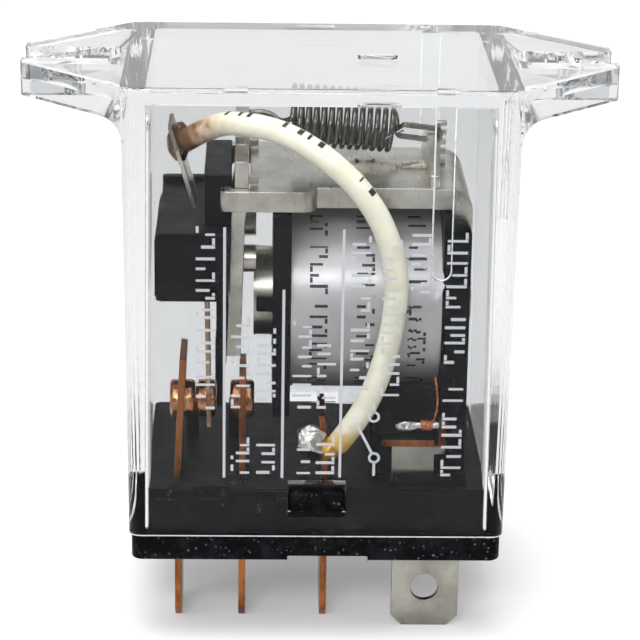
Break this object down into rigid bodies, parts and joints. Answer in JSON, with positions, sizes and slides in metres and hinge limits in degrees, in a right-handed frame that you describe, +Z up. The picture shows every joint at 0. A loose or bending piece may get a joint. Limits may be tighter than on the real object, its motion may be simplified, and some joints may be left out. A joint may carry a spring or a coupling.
{
  "type": "plug-in relay",
  "caption": "Clear-cased plug-in relay with screw ears, a visible coil, hinged armature with return spring, changeover contacts, flexible lead and plug blades.",
  "frame": {"origin": "centre of the base's seating face, so the plug blades reach 6.4 mm below Z = 0", "axes": "+X along the row of contact blades towards the coil end, +Y to the back, +Z up to the closed top"},
  "size_m": [0.043, 0.0214, 0.0419],
  "materials": {
    "clear_plastic": "clear polished polycarbonate",
    "black_moulding": "black moulded phenolic, slight gloss",
    "plated_blade": "nickel-plated copper strip with bare copper cut edges",
    "contact_copper": "copper rivet with a silver-alloy face",
    "spring_copper": "thin copper-alloy spring strip",
    "magnet_wire": "red enamelled copper wire",
    "coil_tape": "grey satin film tape",
    "plated_steel": "nickel-plated soft iron, satin",
    "tinned_wire": "bright tinned wire",
    "solder": "bright solder",
    "spring_steel": "oiled spring steel wire",
    "cream_insulation": "cream flexible insulation, slight sheen"
  },
  "bodies": {
    "frame": {"clear_cover": "clear_plastic", "base_block": "black_moulding", "coil_bobbin": "black_moulding", "nc_terminal": "plated_blade", "no_terminal": "plated_blade", "com_terminal": "plated_blade", "coil_terminal_front": "plated_blade", "coil_terminal_rear": "plated_blade", "nc_contact": "contact_copper", "no_contact": "contact_copper", "coil_winding": "magnet_wire", "coil_tape": "coil_tape", "core": "plated_steel", "yoke": "plated_steel", "coil_pin_front": "tinned_wire", "coil_pin_rear": "tinned_wire", "coil_lead_front": "magnet_wire", "coil_lead_rear": "magnet_wire", "pin_solder_front": "solder", "pin_solder_rear": "solder", "com_solder": "solder", "spring_post": "plated_steel", "post_rivet": "plated_steel", "return_spring": "spring_steel", "lead_wire": "cream_insulation"},
    "armature": {"armature": "plated_steel", "armature_rivets": "plated_steel", "contact_carrier": "black_moulding", "moving_blade": "spring_copper", "moving_contact": "contact_copper", "lead_solder": "solder"}
  },
  "joints": [
    {"name": "armature_hinge", "type": "hinge", "parent": "frame", "child": "armature", "pos_m": [-0.0056, 0, 0.0265], "axis": [0, -1, 0], "range_deg": [0, 3.3], "stiffness_Nm_per_rad": 0.02, "springref_deg": -5.73, "deforming": ["return_spring", "lead_wire"]}
  ]
}
